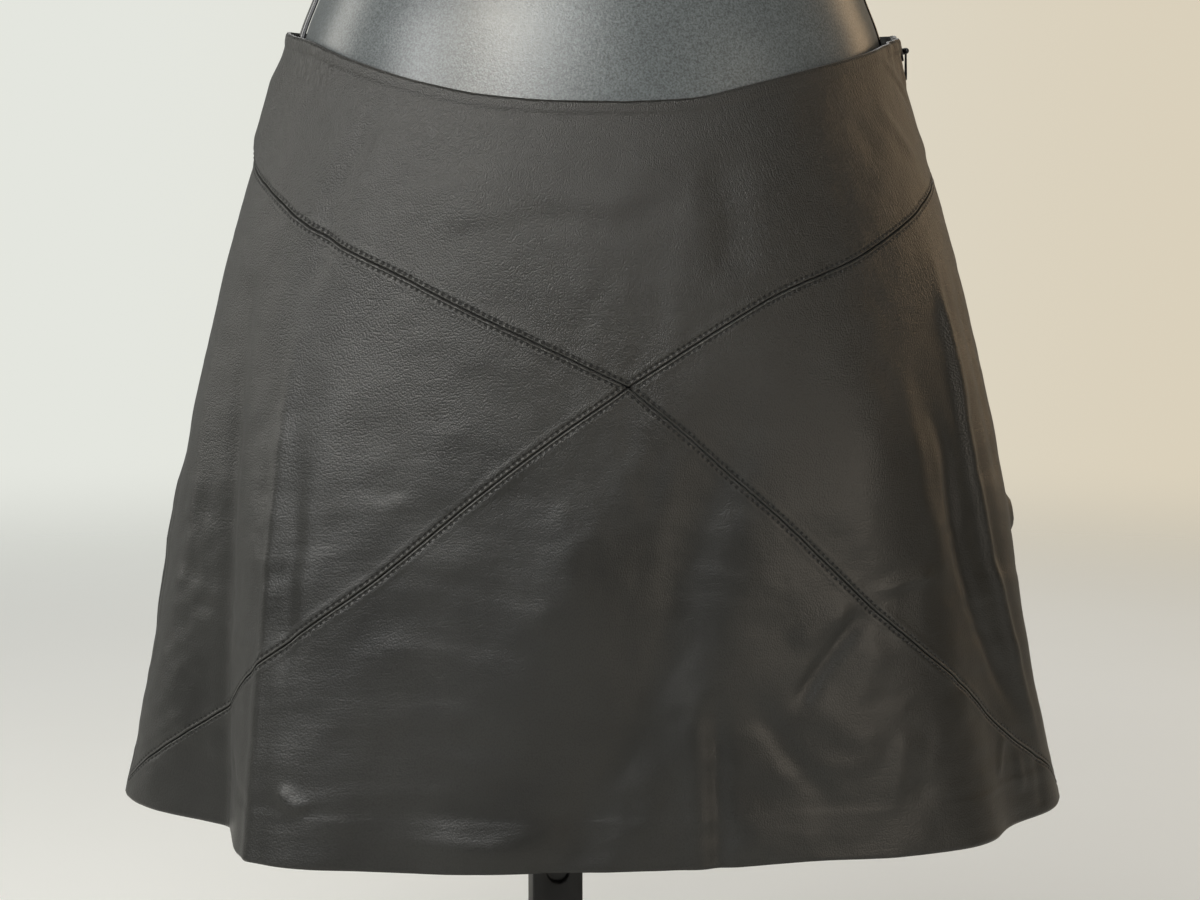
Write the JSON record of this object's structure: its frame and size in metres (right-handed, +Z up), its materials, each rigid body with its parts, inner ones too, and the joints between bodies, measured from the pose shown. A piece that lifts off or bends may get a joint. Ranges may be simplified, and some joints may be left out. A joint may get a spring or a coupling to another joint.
{
  "type": "leather mini skirt on a display form",
  "caption": "Black A-line leather mini skirt with crossing front seams and a side zip, worn by a smooth limbless display form on a square pole and a round base.",
  "frame": {"origin": "centre of the base's underside, below the middle of the form", "axes": "+Z up, -Y toward the front of the skirt, +X toward the side seam with the zip, which is the wearer's left"},
  "size_m": [0.4628, 0.3, 0.6413],
  "materials": {
    "leather": "soft black nappa with a fine grain and a low sheen",
    "zip_cloth": "matt woven tape",
    "zip_metal": "black enamel",
    "form_plastic": "satin dark grey with a very fine texture",
    "gloss_black": "gloss black",
    "stand_steel": "satin black powder coat"
  },
  "bodies": {
    "skirt_and_form": {"front_yoke": "leather", "front_panel_plain_side": "leather", "front_panel_zip_side": "leather", "front_hem_panel": "leather", "back_panel": "leather", "zip_tape": "zip_cloth", "zip_slider": "zip_metal", "form_torso": "form_plastic", "form_cap": "gloss_black", "form_rim_plain_side": "gloss_black", "form_rim_zip_side": "gloss_black", "stand_pole": "stand_steel", "stand_collar": "stand_steel", "stand_base": "stand_steel"},
    "pull_tab": {"zip_pull": "zip_metal"}
  },
  "joints": [
    {"name": "pull_swing", "type": "hinge", "parent": "skirt_and_form", "child": "pull_tab", "pos_m": [0.15088, -0.01606, 0.54162], "axis": [-0.1629, -0.9866, 0], "range_deg": [0, 150]}
  ]
}
